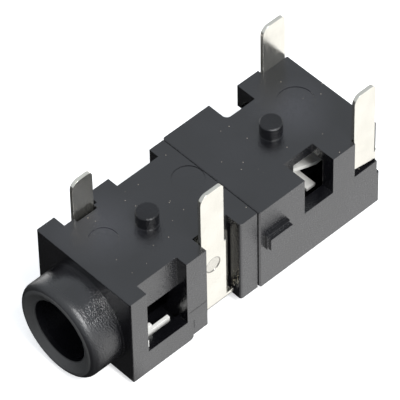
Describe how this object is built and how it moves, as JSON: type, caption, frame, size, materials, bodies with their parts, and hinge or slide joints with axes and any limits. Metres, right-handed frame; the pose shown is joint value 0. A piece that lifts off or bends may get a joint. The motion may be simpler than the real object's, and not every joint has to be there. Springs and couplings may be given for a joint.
{
  "type": "audio jack socket",
  "caption": "Black through-hole audio jack socket for a 3.5 mm plug, two-part plastic housing with a round collar, locating pegs and four tinned sheet-metal contacts with solder pins.",
  "frame": {"origin": "on the plug axis in the plane of the housing's front face, where the collar's root meets the block", "axes": "+X to the right seen from the plug's side, +Y into the socket along the plug axis, +Z the way the solder pins point"},
  "size_m": [0.0074, 0.019, 0.0097],
  "materials": {
    "housing": "fine_texture",
    "tinned_contact": "tinned"
  },
  "bodies": {
    "root": {"front_housing": "housing", "rear_housing": "housing", "sleeve_contact": "tinned_contact", "ring_contact": "tinned_contact", "tip_contact": "tinned_contact", "tip_switch_contact": "tinned_contact"}
  },
  "joints": []
}
